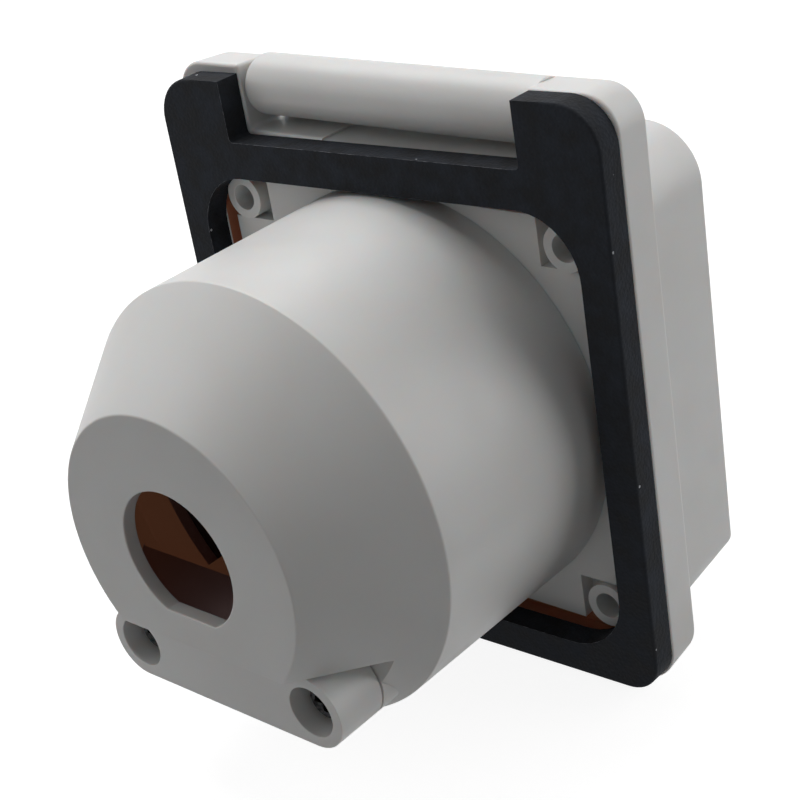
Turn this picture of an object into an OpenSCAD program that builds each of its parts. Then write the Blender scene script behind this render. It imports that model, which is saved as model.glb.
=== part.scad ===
// Shore power inlet with a square flange, a panel gasket, a hinged weather lid and a tapered rear cover.
// The mating connector goes in at the front, under the lid. The cable leaves at the back.
// +Z is up, the lid faces -Y, and the origin lies midway between the four panel screws,
// on the flange's rear face.

/* [Flange] */
// Width of the flange
flange_w = 114.7; // [112:0.1:122]
// Cover axis down to the flange's bottom edge
flange_low = 56.7; // [55:0.1:62]
// Cover axis up to the top of the hinge ears
ear_top = 69.7; // [67:0.1:74]
// Thickness of the flange
flange_t = 9.9; // [8.5:0.1:12]
// Inward slope of the flange's edges over its thickness
flange_draft = 0.7; // [0.2:0.1:1.2]
// Radius of the two lower corners
flange_r = 9; // [5:0.5:14]
// Radius of the two upper corners, on the ears
ear_r = 7.5; // [4:0.5:10]
// Width of the notch between the ears
notch_w = 76.2; // [60:0.2:80]
// Width of the recess in the flange's rear
recess_w = 102; // [98:0.5:104]
// Height of the recess in the flange's rear
recess_h = 98; // [94:0.5:99]
// Corner radius of the recess
recess_r = 12; // [6:0.5:14]
// Depth of the recess
recess_depth = 3.6; // [2:0.1:5]
// Width of the raised plate inside the recess
plate_w = 95.2; // [92:0.2:97]
// Height of the raised plate inside the recess
plate_h = 91; // [88:0.5:93]

/* [Panel screws] */
// Distance between the screw holes across the flange
screw_pitch_x = 86; // [84:0.5:88]
// Distance between the screw holes up the flange
screw_pitch_z = 80; // [78:0.5:82]
// Diameter of the screw holes
screw_hole_d = 5.8; // [4.5:0.1:6.5]
// Diameter of the bosses round the holes
boss_d = 9.8; // [8:0.2:11]
// Bosses above the flange's rear face
boss_rise = 1; // [0:0.1:2]
// Diameter of the screw head's seat in the front
head_seat_d = 11; // [9:0.2:12]
// Depth of the screw head's seat
head_seat_t = 3; // [2:0.2:4]
// Boss axis to the pocket's side wall
pocket_side = 6.9; // [6:0.1:9]
// Boss axis to the pocket's end wall
pocket_end = 5; // [4.9:0.1:7]

/* [Gasket] */
// Thickness of the gasket
gasket_t = 5.8; // [3:0.1:8]
// Gasket edge set in from the flange's edge
gasket_inset = 0.1; // [0:0.1:1]
// Gasket ears below the flange's ears
gasket_drop = 0.8; // [0.2:0.1:2.4]
// Width of the gasket's opening
opening_w = 100.6; // [97:0.2:102]
// Height of the gasket's opening
opening_h = 96.6; // [95:0.2:98]
// Corner radius of the gasket's opening
opening_r = 13; // [8:0.5:16]

/* [Hinge] */
// Diameter of the lid's barrel
barrel_d = 13; // [11:0.2:14]
// Top of the barrel above the ears
barrel_rise = 0.9; // [0:0.1:1.5]
// Barrel to the notch's floor
barrel_gap = 2; // [1.5:0.1:3]
// Barrel's ends to the ears
barrel_end_gap = 0.5; // [0.4:0.1:1.5]
// Rounding of the barrel's ends
barrel_end_r = 2.4; // [1:0.1:4]
// Width of the dip in the notch's floor
dip_w = 34; // [20:0.5:60]
// Depth of the dip in the notch's floor
dip_t = 0.5; // [0.3:0.1:1]
// Flange's rear face to the pin's axis
hinge_depth = 5.9; // [5:0.1:6.8]
// Diameter of the hinge pin
pin_d = 3.5; // [3:0.1:4]
// Radial running clearance of the pin in the barrel
pin_fit = 0.05; // [0.02:0.01:0.08]
// Radial clearance of a pressed-in part
press_fit = 0.01; // [0.01:0.01:0.03]
// Length of the pin in the blind ear
pin_embed = 10; // [6:0.5:14]
// Pin's open end below the side of the other ear
pin_sink = 1; // [0.5:0.1:2]

/* [Lid] */
// Width of the lid at its rim
lid_w = 108; // [104:0.5:110]
// Cover axis down to the lid's rim
lid_low = 49.7; // [48.5:0.1:52]
// Lid's top edge below the notch's floor
lid_top_gap = 0.7; // [0.3:0.1:1.5]
// Depth of the lid from rim to face
lid_depth = 22.1; // [21.5:0.1:26]
// Lid's rim to the flange's front
lid_gap = 0.5; // [0.3:0.1:1]
// Wall of the lid
lid_wall = 2.4; // [1.8:0.1:3]
// Radius of the lid's two upper corners
lid_r = 13; // [8:0.5:14]
// Radius of the lid's two lower corners, at the rim
lid_low_r = 9; // [8:0.5:16]
// Inward slope of each side over the lid's depth
side_draft = 1.2; // [0.5:0.1:2.5]
// Inward slope of the top over the lid's depth
top_draft = 0.9; // [0.5:0.1:2.5]
// Inward slope of the underside over the lid's depth
low_draft = 8.6; // [1:0.1:9]
// Rounding of the edges round the lid's face
face_r = 1.2; // [0.8:0.1:2.2]
// Rounding of the edges inside the lid's face
inside_r = 0.3; // [0.2:0.1:0.6]
// Width of the lift tab
tab_w = 28; // [16:1:40]
// Drop of the lift tab below the rim
tab_drop = 3.6; // [2:0.1:5]
// Thickness of the lift tab
tab_t = 2.6; // [1.8:0.1:4]

/* [Socket] */
// Diameter of the socket well
well_d = 64; // [60:0.5:66]
// Wall of the socket collar
collar_wall = 3.5; // [2.5:0.1:4]
// Length of the collar in front of the flange
collar_len = 17.2; // [16:0.1:18]
// Lid seal to the collar's rim
seal_gap = 0.4; // [0.3:0.1:0.8]
// Lid seal's reach past each face of the collar
seal_reach = 1.2; // [0.6:0.1:2]
// Thickness of the ribs that hold the lid seal
rib_t = 1.2; // [0.8:0.1:2]
// Height of the ribs that hold the lid seal
rib_h = 1.8; // [1:0.1:2.4]

/* [Rear cover] */
// Outer diameter of the cover at the flange
cover_d = 93.9; // [91:0.1:95]
// Inward slope of the cylinder's side over its length
cover_draft = 0.2; // [0.1:0.1:0.6]
// Wall of the cover
cover_wall = 3; // [2.4:0.1:3.6]
// Length of the cylinder, from the flange to the cone
cover_straight = 49.6; // [44:0.1:52]
// Length of the whole cover
cover_len = 72.8; // [70:0.1:78]
// Diameter of the flat end
cover_end_d = 60.4; // [56:0.1:66]
// Diameter of the cable hole
cable_d = 29; // [24:0.5:32]
// Cover axis down to the cable hole's flat
cable_flat = 12.9; // [10:0.1:14]
// Width of the hook on the flange that holds the cover's top
hook_w = 12; // [8:0.5:20]
// Thickness of the hook
hook_t = 3; // [2:0.1:4]
// Reach of the hook into the cover's wall
hook_reach = 1.9; // [1.4:0.1:2]
// Flange's rear face to the hook
hook_y = 8; // [5:0.5:10]
// Clearance round the hook
hook_fit = 0.3; // [0.2:0.05:0.5]

/* [Screw bar] */
// Distance between the two towers
tower_pitch = 47.9; // [45:0.1:50]
// Outer diameter of a tower
tower_d = 15.6; // [14:0.1:16.5]
// Tower's side to the cover's outer cylinder
tower_margin = 1.5; // [0.8:0.1:2]
// Diameter of the tower's bore
tower_bore_d = 10.8; // [9.5:0.1:12]
// Depth of the tower's bore
tower_bore_depth = 8.4; // [6:0.1:9]
// Length of the bar
bar_len = 12; // [11:0.1:14]
// Bar's rear face below the cover's end
bar_recess = 3.9; // [2:0.1:5]
// Bar's top to the flat on the cover
bar_gap = 0.6; // [0.4:0.05:1.5]
// Width and depth of the seam where the bar meets the cover
seam = 0.5; // [0.3:0.1:0.8]

/* [Insert] */
// Depth of the insert's seat below the flange's rear face
seat_depth = 1.5; // [1:0.1:2.5]
// Thickness of the contact carrier
carrier_t = 16; // [15:0.1:18]
// Height of the carrier's nose in the well
nose_t = 3; // [2:0.1:4]
// Length of the spigot behind the flange
spigot_len = 16.5; // [15.5:0.1:17.5]
// Wall of the spigot
spigot_wall = 2.9; // [2.2:0.1:3.2]
// Radial clearance of the cover round the spigot
cover_fit = 0.4; // [0.2:0.05:0.6]
// Radial clearance of the insert in the spigot
carrier_fit = 0.2; // [0.1:0.05:0.3]
// Radial clearance of the terminal block in the cover
block_fit = 0.5; // [0.3:0.05:0.8]
// Length of the terminal block
block_len = 24; // [22:0.1:27]
// Thickness of the O-ring's section
oring_d = 2; // [1.6:0.1:2.2]
// Clearance round the O-ring in its groove
oring_fit = 0.05; // [0.03:0.01:0.1]

/* [Contacts] */
// Radius of the circle of blades
blade_ring_r = 19; // [17:0.1:20]
// Thickness of a blade
blade_t = 2.2; // [1.6:0.1:2.6]
// Angle that a blade covers
blade_arc = 50; // [36:1:56]
// Length of a live blade in front of the insert's seat
blade_len = 21; // [16:0.1:22]
// Extra length of the ground blade
ground_extra = 2.5; // [1:0.1:3]
// Clearance of a blade in its slot
slot_fit = 0.15; // [0.1:0.05:0.3]
// Outer diameter of a terminal
terminal_d = 13; // [12:0.1:14]
// Depth of a terminal in the carrier
terminal_seat = 1; // [0.6:0.1:2]
// Radial clearance of a terminal in its well
terminal_fit = 0.2; // [0.1:0.05:0.4]
// Diameter of the wire hole in a terminal
wire_d = 6.8; // [5:0.1:7.4]
// Depth of the wire hole
wire_depth = 17; // [14:0.5:18]
// Diameter of the wire entry in the terminal block
entry_d = 9.2; // [8:0.1:10]
// Thickness of the lip that holds a terminal
lip_t = 2.7; // [2:0.1:3.5]
// Diameter of a clamp screw
clamp_d = 6; // [5:0.1:6.5]
// Length of a clamp screw
clamp_len = 6.4; // [5:0.1:8]
// Clamp screw's axis in from the terminal's end
clamp_in = 12; // [11:0.1:13]
// Diameter of a pressure plate
pressure_d = 4.6; // [4:0.1:5]
// Thickness of a pressure plate
pressure_t = 0.8; // [0.5:0.1:1]
// Diameter of the access hole to a clamp screw
access_d = 7.2; // [6.8:0.1:8]

/* [Screws] */
// Diameter of a cover screw
cover_screw_d = 3.9; // [3:0.1:4.2]
// Diameter of a cover screw's head
cover_head_d = 7.8; // [6.5:0.1:8.6]
// Height of a cover screw's head
cover_head_t = 2.8; // [2:0.1:3.5]
// Diameter of the screw tubes inside the cover
tube_d = 10.4; // [9:0.1:11]
// Outer diameter of a threaded insert
insert_d = 6.4; // [5.6:0.1:7]
// Length of a threaded insert
insert_len = 8; // [6:0.1:9]
// Diameter of a carrier screw
carrier_screw_d = 3.5; // [3:0.1:3.8]
// Length of a carrier screw
carrier_screw_len = 25.5; // [24:0.1:26.5]
// Diameter of a carrier screw's head
carrier_head_d = 7.6; // [6:0.1:8]
// Height of a carrier screw's head
carrier_head_t = 2.6; // [2:0.1:3]
// Block's front face to a carrier screw's head
carrier_head_in = 3.5; // [3:0.1:5]
// Radial clearance of a screw in its hole
screw_fit = 0.3; // [0.2:0.05:0.5]
// Radial clearance of a thread in its hole
thread_fit = 0.05; // [0.03:0.01:0.1]

/* [Hidden] */
$fn = 96;
cut = 1;

white = "WhiteSmoke";
foam = [0.09, 0.1, 0.11];
black = [0.06, 0.06, 0.065];
brass = [0.79, 0.65, 0.36];
steel = [0.72, 0.73, 0.75];

flange_front = -flange_t;
half_w = flange_w / 2;

// Hinge line, and the notch that the barrel turns in
barrel_r = barrel_d / 2;
hinge_y = -hinge_depth;
hinge_z = ear_top + barrel_rise - barrel_r;
notch_floor = hinge_z - barrel_r - barrel_gap;
barrel_half = notch_w / 2 - barrel_end_gap;

// Lid
lid_rear = flange_front - lid_gap;
lid_face = lid_rear - lid_depth;
lid_top = notch_floor - lid_top_gap;
lid_inside = lid_face + lid_wall;
web_front = hinge_y - barrel_r;

// Socket, from the collar's rim back to the insert's seat
well_r = well_d / 2;
collar_r = well_r + collar_wall;
collar_rim = flange_front - collar_len;
seat_y = -seat_depth;

// Nested rings of the cover, the spigot and the insert
cover_r = cover_d / 2;
shoulder_r = cover_r - cover_draft;
bore_r = cover_r - cover_wall;
spigot_r = bore_r - cover_fit;
spigot_in_r = spigot_r - spigot_wall;
carrier_r = spigot_in_r - carrier_fit;
block_r = bore_r - block_fit;
carrier_rear = seat_y + carrier_t;
block_step = spigot_len + screw_fit;
block_rear = carrier_rear + block_len;

// O-ring groove in the carrier's rim
oring_r = spigot_in_r - oring_fit - oring_d / 2;
groove_r = oring_r - oring_d / 2 - oring_fit;
groove_y = seat_y + carrier_t / 2;
carrier_screw_r = (well_r + groove_r) / 2;

// Cone of the cover, and the wall measured square to it
cone_len = cover_len - cover_straight;
cone_drop = shoulder_r - cover_end_d / 2;
cone_slope = cone_drop / cone_len;
cone_wall = cover_wall * sqrt(1 + cone_slope * cone_slope);
end_inside = cover_len - cover_wall;

// Screw bar: its towers lie just inside the cover's cylinder
tower_r = tower_d / 2;
tower_x = tower_pitch / 2;
tower_ring = shoulder_r - tower_margin - tower_r;
tower_z = -sqrt(tower_ring * tower_ring - tower_x * tower_x);
bar_rear = cover_len - bar_recess;
bar_seat = bar_rear - bar_len;
flat_z = tower_z + tower_r + bar_gap;
bar_floor = bar_rear - tower_bore_depth;

// Contacts and their terminals
blade_angles = [135, 45, 225, 315];
slot_arc = blade_arc + 2 * slot_fit / blade_ring_r * 180 / PI;
terminal_front = carrier_rear - terminal_seat;
terminal_rear = block_rear - lip_t - terminal_fit;
clamp_y = terminal_rear - clamp_in;
well_end = terminal_rear + terminal_fit;
clamp_tip = wire_d / 2 - pressure_t;
insert_front = block_rear - insert_len;
carrier_head_seat = carrier_rear + carrier_head_in;
carrier_tip = carrier_head_seat - carrier_screw_len;
insert_tip = insert_front - cover_screw_d / 2;

// Extrudes a flat shape, drawn as [x, z], from y0 to y1
module span_y(y0, y1) {
    translate([0, y1, 0]) rotate([90, 0, 0]) linear_extrude(height = y1 - y0) children();
}

// Extrudes a flat shape, drawn as [y, z], from x0 to x1
module span_x(x0, x1) {
    translate([x0, 0, 0]) rotate([90, 0, 90]) linear_extrude(height = x1 - x0) children();
}

// Round bar along Y at [x, z]
module rod_y(r, y0, y1, x = 0, z = 0) {
    translate([x, y1, z]) rotate([90, 0, 0]) cylinder(r = r, h = y1 - y0);
}

// Round bar along X at [y, z]
module rod_x(r, x0, x1, y, z) {
    translate([x0, y, z]) rotate([0, 90, 0]) cylinder(r = r, h = x1 - x0);
}

// Round bar that points away from the Y axis at angle a
module rod_out(r, from_r, to_r, a, y) {
    translate([from_r * cos(a), y, from_r * sin(a)]) rotate([0, 90 - a, 0])
        cylinder(r = r, h = to_r - from_r);
}

// Solid of revolution about the Y axis, drawn as [radius, y]
module turned() {
    rotate([-90, 0, 0]) rotate_extrude() children();
}

// Waste outside a corner's rounding; sx and sz point outwards
module corner_waste(x, z, sx, sz, r) {
    translate([x - sx * r, z - sz * r]) difference() {
        translate([sx > 0 ? 0 : -r - cut, sz > 0 ? 0 : -r - cut]) square(r + cut);
        circle(r = r);
    }
}

// Rectangle of half-width x from z0 to z1, with rounded lower and upper corners
module panel(x, z0, z1, r_low, r_top) {
    difference() {
        translate([-x, z0]) square([2 * x, z1 - z0]);
        for (s = [-1, 1]) {
            corner_waste(s * x, z0, s, -1, r_low);
            corner_waste(s * x, z1, s, 1, r_top);
        }
    }
}

// Ring sector in the plane of the flange, centred on angle a
module ring_sector(r0, r1, a, width) {
    reach = 2 * r1;
    intersection() {
        difference() {
            circle(r = r1);
            circle(r = r0);
        }
        polygon([[0, 0], reach * [cos(a - width / 2), sin(a - width / 2)],
            reach * [cos(a + width / 2), sin(a + width / 2)]]);
    }
}

// Places children at each of the four panel screws
module at_panel_screws() {
    for (x = [-1, 1], z = [-1, 1]) translate([x * screw_pitch_x / 2, 0, z * screw_pitch_z / 2]) children();
}

// Flange outline with the hinge notch, set in by d and lowered at the ears by drop
module flange_outline(d, drop) {
    difference() {
        panel(half_w - d, -flange_low + d, ear_top - drop, flange_r - d, ear_r - d);
        translate([-notch_w / 2 - d, notch_floor + d]) square([notch_w + 2 * d, ear_top]);
    }
}

// Flange with its edges sloped in towards the front
module flange_form() {
    intersection() {
        span_y(flange_front, 0) flange_outline(0, 0);
        span_x(-half_w - cut, half_w + cut) polygon([[0, -flange_low], [0, ear_top],
            [flange_front, ear_top - flange_draft], [flange_front, flange_draft - flange_low]]);
        translate([0, 0, -flange_low - cut]) linear_extrude(height = flange_low + ear_top + 2 * cut)
            polygon([[-half_w, 0], [flange_draft - half_w, flange_front],
                [half_w - flange_draft, flange_front], [half_w, 0]]);
    }
}

// Raised plate with a square pocket taken out at each corner
module plate_outline() {
    pocket_x = screw_pitch_x / 2 - pocket_side;
    pocket_z = screw_pitch_z / 2 - pocket_end;
    intersection() {
        square([plate_w, plate_h], center = true);
        union() {
            square([2 * pocket_x, 2 * plate_h], center = true);
            square([2 * plate_w, 2 * pocket_z], center = true);
        }
    }
}

// Recess in the flange's rear, round the plate
module recess_outline() {
    difference() {
        panel(recess_w / 2, -recess_h / 2, recess_h / 2, recess_r, recess_r);
        plate_outline();
    }
}

// Hook on top of the spigot, or with a clearance the slot that takes it
module hook(fit) {
    top = spigot_r + hook_reach + fit;
    translate([-hook_w / 2 - fit, hook_y - fit, spigot_in_r + spigot_wall / 2])
        cube([hook_w + 2 * fit, hook_t + 2 * fit, top - spigot_in_r - spigot_wall / 2]);
}

module base_flange() {
    color(white) difference() {
        union() {
            difference() {
                flange_form();
                span_y(-recess_depth, cut) recess_outline();
                translate([-dip_w / 2, flange_front - cut, notch_floor - dip_t])
                    cube([dip_w, flange_t + 2 * cut, dip_t + cut]);
            }
            at_panel_screws() rod_y(boss_d / 2, -recess_depth - cut, boss_rise);
            rod_y(collar_r, collar_rim, flange_front + cut);
            rod_y(spigot_r, -cut, spigot_len);
            hook(0);
        }
        rod_y(well_r, collar_rim - cut, seat_y + cut);
        rod_y(spigot_in_r, seat_y, spigot_len + cut);
        at_panel_screws() {
            rod_y(screw_hole_d / 2, flange_front - cut, boss_rise + cut);
            rod_y(head_seat_d / 2, flange_front - cut, flange_front + head_seat_t);
        }
        for (a = [0, 90, 180])
            rod_y(carrier_screw_d / 2 + thread_fit, carrier_tip - cut, seat_y + cut,
                carrier_screw_r * cos(a), carrier_screw_r * sin(a));
        rod_x(pin_d / 2 + press_fit, -notch_w / 2 - pin_embed, half_w + cut, hinge_y, hinge_z);
    }
}

module panel_gasket() {
    color(foam) span_y(0, gasket_t) difference() {
        flange_outline(gasket_inset, gasket_drop);
        panel(opening_w / 2, -opening_h / 2, opening_h / 2, opening_r, opening_r);
    }
}

// Half section of the cover's outside
module cover_outer() {
    polygon([[0, 0], [cover_r, 0], [shoulder_r, cover_straight], [cover_end_d / 2, cover_len],
        [0, cover_len]]);
}

// Half section of the cover's inside
module cover_inner() {
    bend = cover_straight - cover_wall * (sqrt(1 + cone_slope * cone_slope) - 1) / cone_slope;
    bend_r = shoulder_r - cover_wall;
    end_r = shoulder_r - cone_wall - cone_slope * (end_inside - cover_straight);
    polygon([[0, -cut], [bore_r, -cut], [bend_r, bend], [end_r, end_inside], [0, end_inside]]);
}

// Bar with two round ends, drawn as [x, z]
module bar_outline(r) {
    translate([-tower_x, tower_z - r]) square([tower_pitch, 2 * r]);
    for (s = [-1, 1]) translate([s * tower_x, tower_z]) circle(r = r);
}

// Space below z behind y, which the screw bar takes out of the cover
module bar_space(z, y) {
    translate([-cover_d, y, z - 2 * cover_d]) cube([2 * cover_d, cover_len, 2 * cover_d]);
}

// Cable hole: a circle with a flat side below
module cable_outline() {
    intersection() {
        circle(d = cable_d);
        translate([-cable_d, -cable_flat]) square([2 * cable_d, 2 * cable_d]);
    }
}

module rear_cover() {
    color(white) difference() {
        union() {
            difference() {
                turned() cover_outer();
                bar_space(flat_z, bar_seat);
            }
            span_y(cover_straight - tower_margin, bar_seat) bar_outline(tower_r);
        }
        difference() {
            turned() cover_inner();
            bar_space(flat_z + cover_wall, bar_seat - cover_wall);
            for (s = [-1, 1]) rod_y(tube_d / 2, block_rear + screw_fit, bar_seat, s * tower_x, tower_z);
        }
        span_y(end_inside - cut, cover_len + cut) cable_outline();
        for (s = [-1, 1]) rod_y(cover_screw_d / 2 + screw_fit, 0, bar_seat + cut, s * tower_x, tower_z);
        hook(hook_fit);
    }
}

module screw_bar() {
    color(white) difference() {
        union() {
            span_y(bar_seat, bar_seat + 2 * seam) bar_outline(tower_r - seam);
            span_y(bar_seat + seam, bar_rear) bar_outline(tower_r);
        }
        for (s = [-1, 1]) {
            rod_y(tower_bore_d / 2, bar_floor, bar_rear + cut, s * tower_x, tower_z);
            rod_y(cover_screw_d / 2 + screw_fit, bar_seat - cut, bar_floor + cut, s * tower_x, tower_z);
        }
    }
}

module cover_screws() {
    color(steel) for (s = [-1, 1]) union() {
        rod_y(cover_screw_d / 2, insert_tip, bar_floor + cut, s * tower_x, tower_z);
        rod_y(cover_head_d / 2, bar_floor, bar_floor + cover_head_t, s * tower_x, tower_z);
    }
}

module cover_inserts() {
    color(brass) for (s = [-1, 1]) difference() {
        rod_y(insert_d / 2, insert_front, block_rear, s * tower_x, tower_z);
        rod_y(cover_screw_d / 2 + thread_fit, insert_front - cut, block_rear + cut, s * tower_x, tower_z);
    }
}

// Quarter circle of radius r round a corner at [u, v]; su and sv point outwards
function rounded_corner(u, v, su, sv, r) =
    [for (i = [0 : 4]) [u - su * r * (1 - sin(22.5 * i)), v - sv * r * (1 - cos(22.5 * i))]];

function reversed(points) = [for (i = [len(points) - 1 : -1 : 0]) points[i]];

// Block with sloped sides and a rounded face: the lid's outside, or set in by d its inside
module lid_form(d, face, rim) {
    r = max(face_r - d, inside_r);
    x = lid_w / 2 - d;
    low = -lid_low + d;
    top = lid_top - d;
    face_x = x - side_draft;
    intersection() {
        span_y(face, rim) panel(x, low, top, lid_low_r - d, lid_r - d);
        span_x(-x - cut, x + cut) polygon(concat([[rim, low]],
            rounded_corner(face, low + low_draft, -1, -1, r),
            reversed(rounded_corner(face, top - top_draft, -1, 1, r)), [[rim, top]]));
        translate([0, 0, low - cut]) linear_extrude(height = top - low + 2 * cut)
            polygon(concat([[-x, rim]], reversed(rounded_corner(-face_x, face, -1, -1, r)),
                rounded_corner(face_x, face, 1, -1, r), [[x, rim]]));
    }
}

// Barrel with rounded ends
module barrel() {
    translate([0, hinge_y, hinge_z]) rotate([0, 90, 0]) rotate_extrude() intersection() {
        panel(barrel_r, -barrel_half, barrel_half, barrel_end_r, barrel_end_r);
        translate([0, -barrel_half]) square([barrel_r, 2 * barrel_half]);
    }
}

module lid() {
    rib_in = well_r - seal_reach;
    rib_out = collar_r + seal_reach;
    color(white) difference() {
        union() {
            difference() {
                lid_form(0, lid_face, lid_rear);
                lid_form(lid_wall, lid_inside, lid_rear + cut);
            }
            span_y(lid_inside - cut, lid_inside + rib_h) for (r = [rib_in - rib_t, rib_out]) difference() {
                circle(r = r + rib_t);
                circle(r = r);
            }
            translate([-barrel_half, web_front, lid_top - lid_wall])
                cube([2 * barrel_half, lid_rear - web_front, hinge_z - lid_top + lid_wall]);
            translate([-tab_w / 2, lid_rear - tab_t, -lid_low - tab_drop])
                cube([tab_w, tab_t, tab_drop + lid_wall]);
            barrel();
        }
        rod_x(pin_d / 2 + pin_fit, -barrel_half - cut, barrel_half + cut, hinge_y, hinge_z);
    }
}

module lid_seal() {
    color(black) span_y(lid_inside, collar_rim - seal_gap) difference() {
        circle(r = collar_r + seal_reach);
        circle(r = well_r - seal_reach);
    }
}

module hinge_pin() {
    color(steel) rod_x(pin_d / 2, -notch_w / 2 - pin_embed, half_w - pin_sink, hinge_y, hinge_z);
}

module contact_carrier() {
    color(black) difference() {
        union() {
            rod_y(carrier_r, seat_y, carrier_rear);
            rod_y(well_r - carrier_fit, seat_y - nose_t, seat_y + cut);
        }
        translate([0, groove_y, 0]) turned() translate([groove_r, -oring_d / 2 - oring_fit])
            square([oring_d * 2, oring_d + 2 * oring_fit]);
        for (a = blade_angles) {
            span_y(seat_y - nose_t - cut, carrier_rear + cut)
                ring_sector(blade_ring_r - blade_t / 2 - slot_fit, blade_ring_r + blade_t / 2 + slot_fit, a,
                    slot_arc);
            rod_y(terminal_d / 2 + terminal_fit, terminal_front, carrier_rear + cut,
                blade_ring_r * cos(a), blade_ring_r * sin(a));
        }
        for (a = [0, 90, 180])
            rod_y(carrier_screw_d / 2 + screw_fit, seat_y - cut, carrier_rear + cut,
                carrier_screw_r * cos(a), carrier_screw_r * sin(a));
    }
}

module carrier_seal() {
    color(black) translate([0, groove_y, 0]) turned() translate([oring_r, 0]) circle(d = oring_d);
}

module terminal_block() {
    color(black) difference() {
        union() {
            rod_y(carrier_r, carrier_rear, block_step + cut);
            rod_y(block_r, block_step, block_rear);
        }
        for (a = blade_angles) {
            rod_y(terminal_d / 2 + terminal_fit, carrier_rear - cut, well_end,
                blade_ring_r * cos(a), blade_ring_r * sin(a));
            rod_y(entry_d / 2, well_end - cut, block_rear + cut,
                blade_ring_r * cos(a), blade_ring_r * sin(a));
            rod_out(access_d / 2, blade_ring_r, block_r + cut, a, clamp_y);
        }
        for (a = [0, 90, 180]) {
            rod_y(carrier_screw_d / 2 + screw_fit, carrier_rear - cut, block_rear,
                carrier_screw_r * cos(a), carrier_screw_r * sin(a));
            rod_y(carrier_head_d / 2 + screw_fit, carrier_head_seat, block_rear + cut,
                carrier_screw_r * cos(a), carrier_screw_r * sin(a));
        }
        for (s = [-1, 1]) {
            rod_y(insert_d / 2 + press_fit, insert_front, block_rear + cut, s * tower_x, tower_z);
            rod_y(cover_screw_d / 2 + screw_fit, insert_tip - screw_fit, insert_front + cut,
                s * tower_x, tower_z);
        }
    }
}

module carrier_screws() {
    color(steel) for (a = [0, 90, 180]) union() {
        rod_y(carrier_screw_d / 2, carrier_tip, carrier_head_seat + cut,
            carrier_screw_r * cos(a), carrier_screw_r * sin(a));
        rod_y(carrier_head_d / 2, carrier_head_seat, carrier_head_seat + carrier_head_t,
            carrier_screw_r * cos(a), carrier_screw_r * sin(a));
    }
}

// Contact at angle a: a curved blade in front and a drilled terminal behind
module blade(a, length) {
    x = blade_ring_r * cos(a);
    z = blade_ring_r * sin(a);
    color(brass) difference() {
        union() {
            span_y(seat_y - length, terminal_front + terminal_seat / 2)
                ring_sector(blade_ring_r - blade_t / 2, blade_ring_r + blade_t / 2, a, blade_arc);
            rod_y(terminal_d / 2, terminal_front, terminal_rear, x, z);
        }
        rod_y(wire_d / 2, terminal_rear - wire_depth, terminal_rear + cut, x, z);
        rod_out(clamp_d / 2 + thread_fit, blade_ring_r, blade_ring_r + terminal_d, a, clamp_y);
    }
}

module blade_line_1() { blade(blade_angles[0], blade_len); }

module blade_line_2() { blade(blade_angles[1], blade_len); }

module blade_neutral() { blade(blade_angles[2], blade_len); }

module blade_ground() { blade(blade_angles[3], blade_len + ground_extra); }

module terminal_screws() {
    tip = blade_ring_r + clamp_tip + pressure_t;
    color(steel) for (a = blade_angles) rod_out(clamp_d / 2, tip, tip + clamp_len, a, clamp_y);
}

module pressure_plates() {
    tip = blade_ring_r + clamp_tip;
    color(steel) for (a = blade_angles) rod_out(pressure_d / 2, tip, tip + pressure_t, a, clamp_y);
}

base_flange();
panel_gasket();
rear_cover();
screw_bar();
cover_screws();
cover_inserts();
lid();
lid_seal();
hinge_pin();
contact_carrier();
carrier_seal();
terminal_block();
carrier_screws();
blade_line_1();
blade_line_2();
blade_neutral();
blade_ground();
terminal_screws();
pressure_plates();
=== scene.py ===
"""Looks of a shore power inlet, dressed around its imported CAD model.

The flange, the foam gasket, the rear cover, the lid and the cover screws are modelled here. The screw
bar, the lid seal and the terminal block are soft-edged copies of the CAD solids, and the parts inside
the housing keep their CAD shapes and get real finishes. Sizes are in millimetres unless a name says
otherwise.
"""
import logging
import math
from contextlib import contextmanager
from dataclasses import dataclass, field
from enum import Enum
from itertools import product
from typing import Any, Callable, ClassVar, Iterator, Optional, Sequence

import bpy
from mathutils import Matrix, Vector


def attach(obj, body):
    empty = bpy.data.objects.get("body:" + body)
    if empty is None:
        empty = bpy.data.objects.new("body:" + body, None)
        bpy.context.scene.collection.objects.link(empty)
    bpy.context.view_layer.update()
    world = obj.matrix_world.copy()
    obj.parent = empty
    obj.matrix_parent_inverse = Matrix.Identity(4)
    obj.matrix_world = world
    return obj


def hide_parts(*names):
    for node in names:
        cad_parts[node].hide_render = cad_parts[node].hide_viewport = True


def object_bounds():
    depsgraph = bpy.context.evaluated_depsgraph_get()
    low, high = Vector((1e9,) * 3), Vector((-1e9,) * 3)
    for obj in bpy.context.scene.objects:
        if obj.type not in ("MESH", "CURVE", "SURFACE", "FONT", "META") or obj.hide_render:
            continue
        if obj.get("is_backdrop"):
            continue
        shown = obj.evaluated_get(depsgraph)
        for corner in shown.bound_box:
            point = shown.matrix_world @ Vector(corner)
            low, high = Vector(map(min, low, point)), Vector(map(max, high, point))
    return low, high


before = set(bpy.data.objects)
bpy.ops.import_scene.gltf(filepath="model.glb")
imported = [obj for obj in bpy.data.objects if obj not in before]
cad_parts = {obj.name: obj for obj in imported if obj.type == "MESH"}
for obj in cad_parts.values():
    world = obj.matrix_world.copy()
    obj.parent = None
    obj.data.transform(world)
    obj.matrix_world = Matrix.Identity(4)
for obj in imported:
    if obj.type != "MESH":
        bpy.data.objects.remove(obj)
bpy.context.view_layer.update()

LOG = logging.getLogger("shore_power_inlet")
MM = 0.001  # metres in a millimetre
MERGE_MM = 0.002  # points closer than this are one point
NEAR_MM = 0.01  # a point this close to a plane counts as lying on it
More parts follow.
